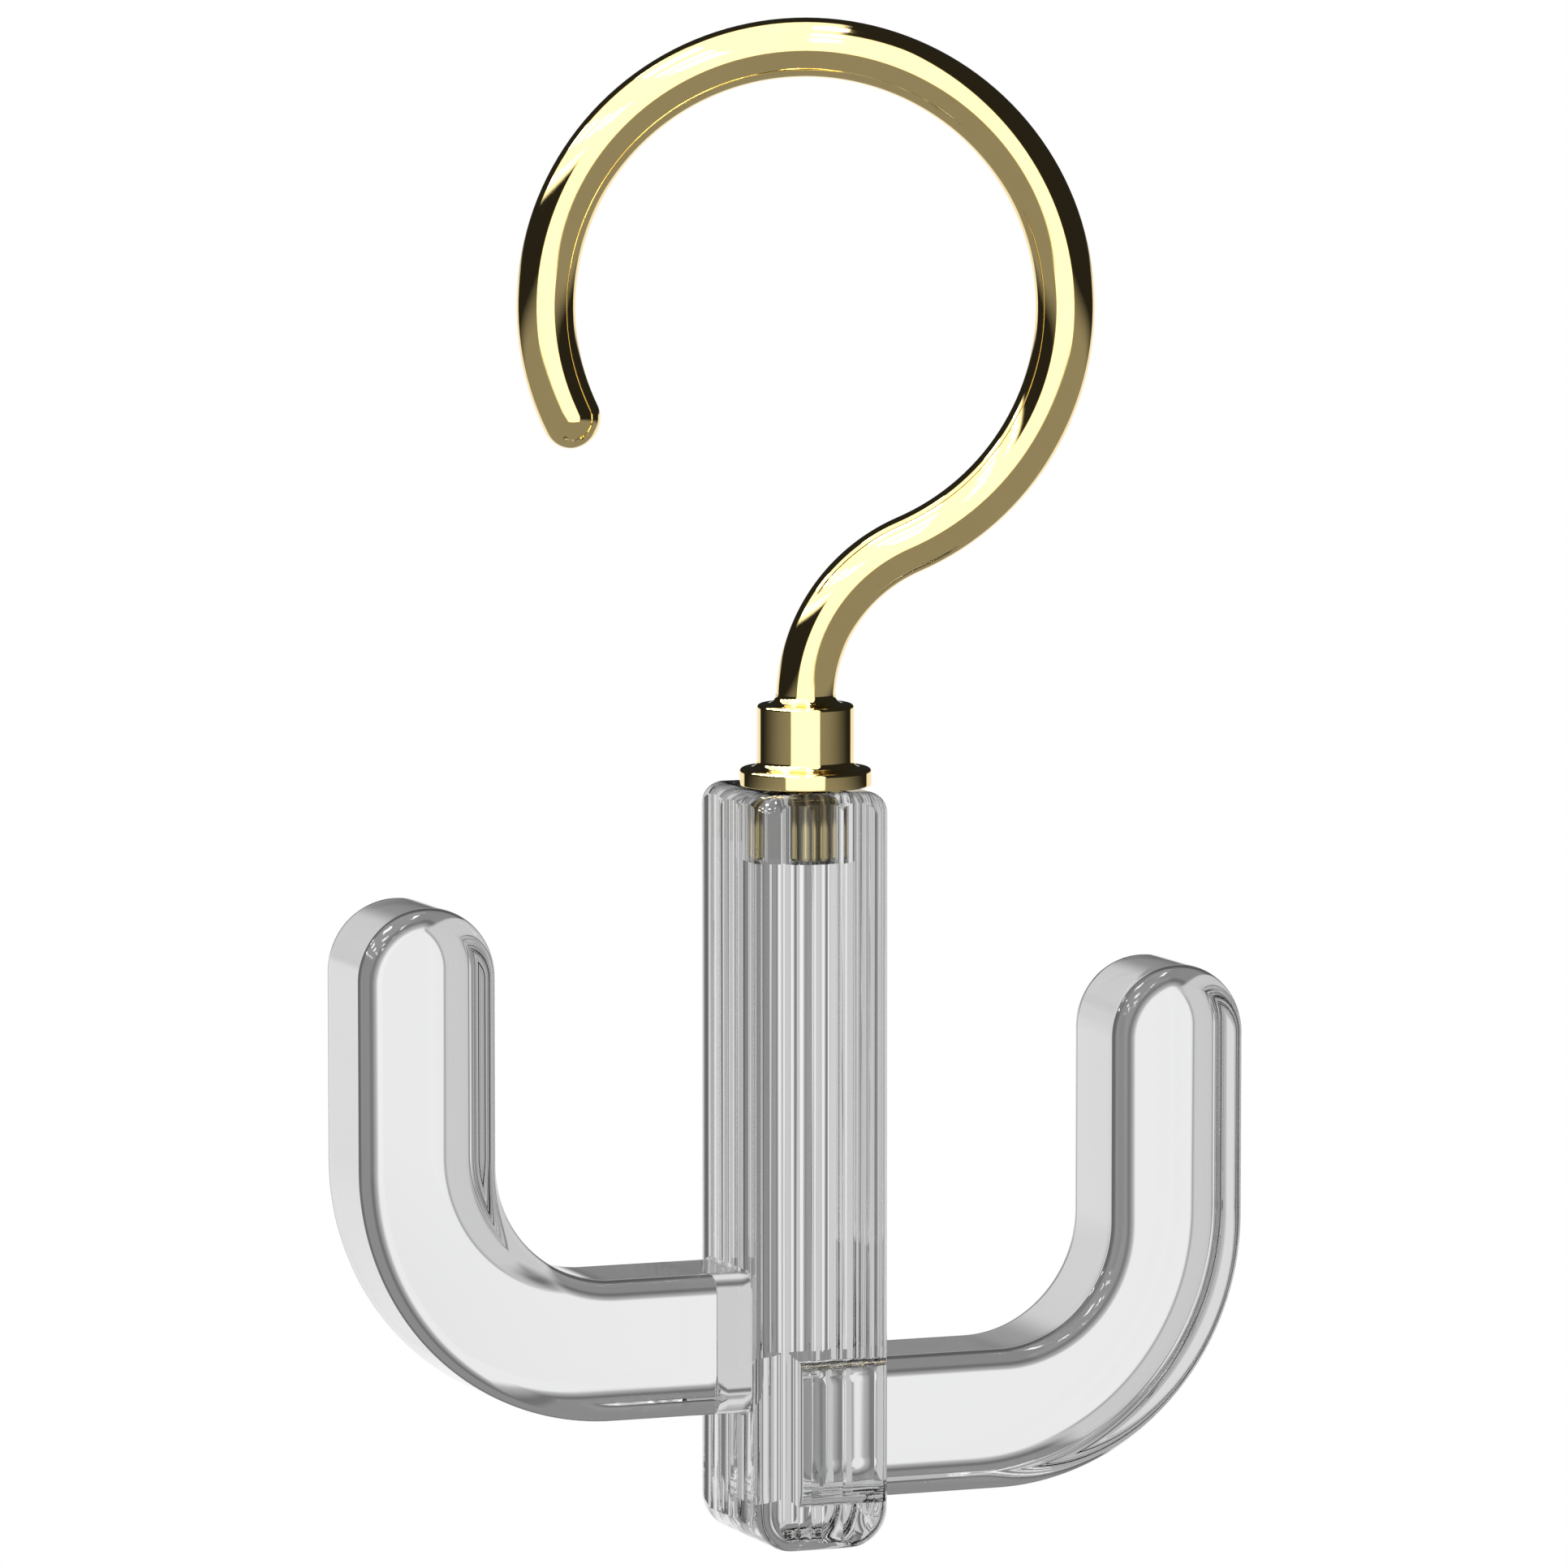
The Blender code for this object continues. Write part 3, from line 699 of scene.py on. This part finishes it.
def make_camera():
    data = bpy.data.cameras.new("camera")
    data.sensor_width = SENSOR
    data.lens = FOCAL / PHOTO_SIZE * SENSOR
    camera = bpy.data.objects.new("camera", data)
    bpy.context.scene.collection.objects.link(camera)
    target = side_way * (AIM_RIGHT * PIXEL) + up_way * (AIM_UP * PIXEL)
    place = target - look * (FOCAL * PIXEL) + post_place
    turn = Matrix((side_way, up_way, -look)).transposed().to_4x4()
    camera.matrix_world = Matrix.Translation(place) @ turn
    data.clip_start = CLIP_START
    data.clip_end = CLIP_END
    bpy.context.scene.camera = camera


def mirrored_surroundings(graph, toward, right, up):
    """Soft boxes in front and above, cells of light in the upper one, a pale back and a dim ground."""
    away = graph.times(toward, -1.0)
    size_right = graph.calc("ABSOLUTE", right)
    rise = graph.ratio(up, toward)
    front = graph.product(
        graph.above(toward, *FRONT_FACING), graph.below(graph.ratio(size_right, toward), *FRONT_HALF_WIDTH),
        graph.above(rise, *FRONT_LOW), graph.below(rise, *FRONT_HIGH), SOFTBOX_LEVEL)
    leftmost = graph.calc("ADD", up, graph.times(right, OVER_LEFT_SLOPE))
    rightmost = graph.calc("SUBTRACT", right, graph.times(up, OVER_RIGHT_SLOPE))
    over_mask = graph.product(
        graph.above(toward, *OVER_FACING), graph.above(up, *OVER_SIDE), graph.above(leftmost, *OVER_SIDE),
        graph.below(rightmost, *OVER_SIDE))
    over = graph.times(over_mask, SOFTBOX_LEVEL)
    cells = graph.product(
        over_mask, graph.above(up, *CELLS_LOW), graph.checks(graph.ratio(right, up)),
        graph.checks(graph.ratio(toward, up)), CELL_LEVEL)
    rise = graph.ratio(up, away)
    back = graph.product(
        graph.above(away, *BACK_FACING), graph.below(graph.ratio(size_right, away), *BACK_HALF_WIDTH),
        graph.below(rise, *BACK_HIGH), graph.above(rise, *BACK_LOW))
    ground = graph.times(graph.below(up, *GROUND_HIGH), GROUND_LEVEL)
    return graph.brightest(front, over, cells, back, ground, MIRRORED_LEAST)


def seen_surroundings(graph, toward, right, up):
    """What shows through the acrylic: a pale window straight behind, with grey and dark rings round it."""
    away = graph.times(toward, -1.0)
    sideways = graph.calc("SQRT", graph.calc("ADD", graph.times(right, right), graph.times(up, up)))
    off_axis = graph.ratio(sideways, away)
    leftward = graph.ratio(graph.times(right, -1.0), away)
    to_left = graph.above(graph.calc("SUBTRACT", leftward, graph.times(off_axis, LEFT_SHARE)), *LEFT_EDGE)
    behind = graph.calc(
        "ADD", graph.times(graph.banded(off_axis, LEFTWARD_RINGS), to_left),
        graph.times(graph.banded(off_axis, RIGHTWARD_RINGS), graph.inverse(to_left)))
    behind = graph.times(behind, graph.above(away, *SEEN_FACING))
    slant = graph.ratio(graph.calc("ABSOLUTE", right), graph.calc("ABSOLUTE", up))
    under = graph.product(
        graph.above(graph.times(up, -1.0), *UNDER_HIGH), graph.below(slant, *UNDER_HALF_WIDTH), UNDER_SHADE)
    behind = graph.times(behind, graph.inverse(under))
    front = graph.banded(graph.ratio(sideways, toward), FRONT_RINGS)
    front = graph.times(front, graph.above(toward, *SEEN_FACING))
    return graph.brightest(behind, front, SEEN_LEAST)


def make_world():
    """White for the camera, one pattern for what is mirrored and another for what is seen through."""
    world = bpy.data.worlds.new("studio")
    bpy.context.scene.world = world
    world.use_nodes = True
    graph = Graph(world.node_tree)
    way = graph.nodes.new("ShaderNodeTexCoord").outputs["Generated"]
    axes = [graph.dot(way, direction) for direction in (-look, side_way, up_way)]
    path = graph.nodes.new("ShaderNodeLightPath")
    seen_through = path.outputs["Is Transmission Ray"]
    direct = path.outputs["Is Camera Ray"]
    level = graph.calc(
        "ADD", graph.times(seen_surroundings(graph, *axes), seen_through),
        graph.times(mirrored_surroundings(graph, *axes), graph.inverse(seen_through)))
    level = graph.calc("ADD", graph.times(level, graph.inverse(direct)), direct)
    background = graph.nodes["Background"]
    background.inputs["Color"].default_value = (1, 1, 1, 1)
    graph.put(level, background.inputs["Strength"])


def make_floor():
    rings = [circle(FLOOR_RADIUS, height, FLOOR_SIDES) for height in (-FLOOR_THICKNESS, 0.0)]
    floor = add_object("floor", rings_mesh("floor", rings), (0, 0, post_top - POST_HEIGHT - FLOOR_BELOW_POST))
    material, _, shader = new_material("pale_floor")
    shader.inputs["Base Color"].default_value = (0.0, 0.0, 0.0, 1)
    shader.inputs["Specular IOR Level"].default_value = 0.0
    shader.inputs["Emission Color"].default_value = (1, 1, 1, 1)
    shader.inputs["Emission Strength"].default_value = 1.0
    floor.data.materials.append(material)
    floor.visible_glossy = False
    floor.visible_transmission = False
    floor.visible_diffuse = False


gold = metal("pale_gold_polished", GOLD_TONES, GOLD_ROUGHNESS, GOLD_BUMP)
brass = brass_with_painted_shade("bush_brass_knurl_painted_shade")
steel = metal("clip_spring_steel", STEEL_TONES, STEEL_ROUGHNESS, STEEL_BUMP)
clear = acrylic("clear_acrylic_polished", ARM_IOR)
fluted = acrylic("clear_acrylic_fluted", POST_IOR)

pieces = [
    (make_hook(), "hook", "hook_rod", "pale_gold", gold),
    (make_collar(), "hook", "swivel_collar", "pale_gold", gold),
    (make_clip(), "hook", "retaining_clip", "spring_steel", steel),
    (make_bush(), "post", "socket_bush", "bush_brass", brass),
    (make_post(), "post", "post_body", "clear_acrylic", fluted),
    (make_arm("left_arm_fine", -1), "post", "left_arm", "clear_acrylic", clear),
    (make_arm("right_arm_fine", 1), "post", "right_arm", "clear_acrylic", clear),
]
for piece, body, node, slot, material in pieces:
    piece.data.materials.clear()
    piece.data.materials.append(material)
    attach(piece, body)
    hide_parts(node)

make_camera()
make_world()
make_floor()
bpy.context.scene.view_settings.view_transform = "Standard"
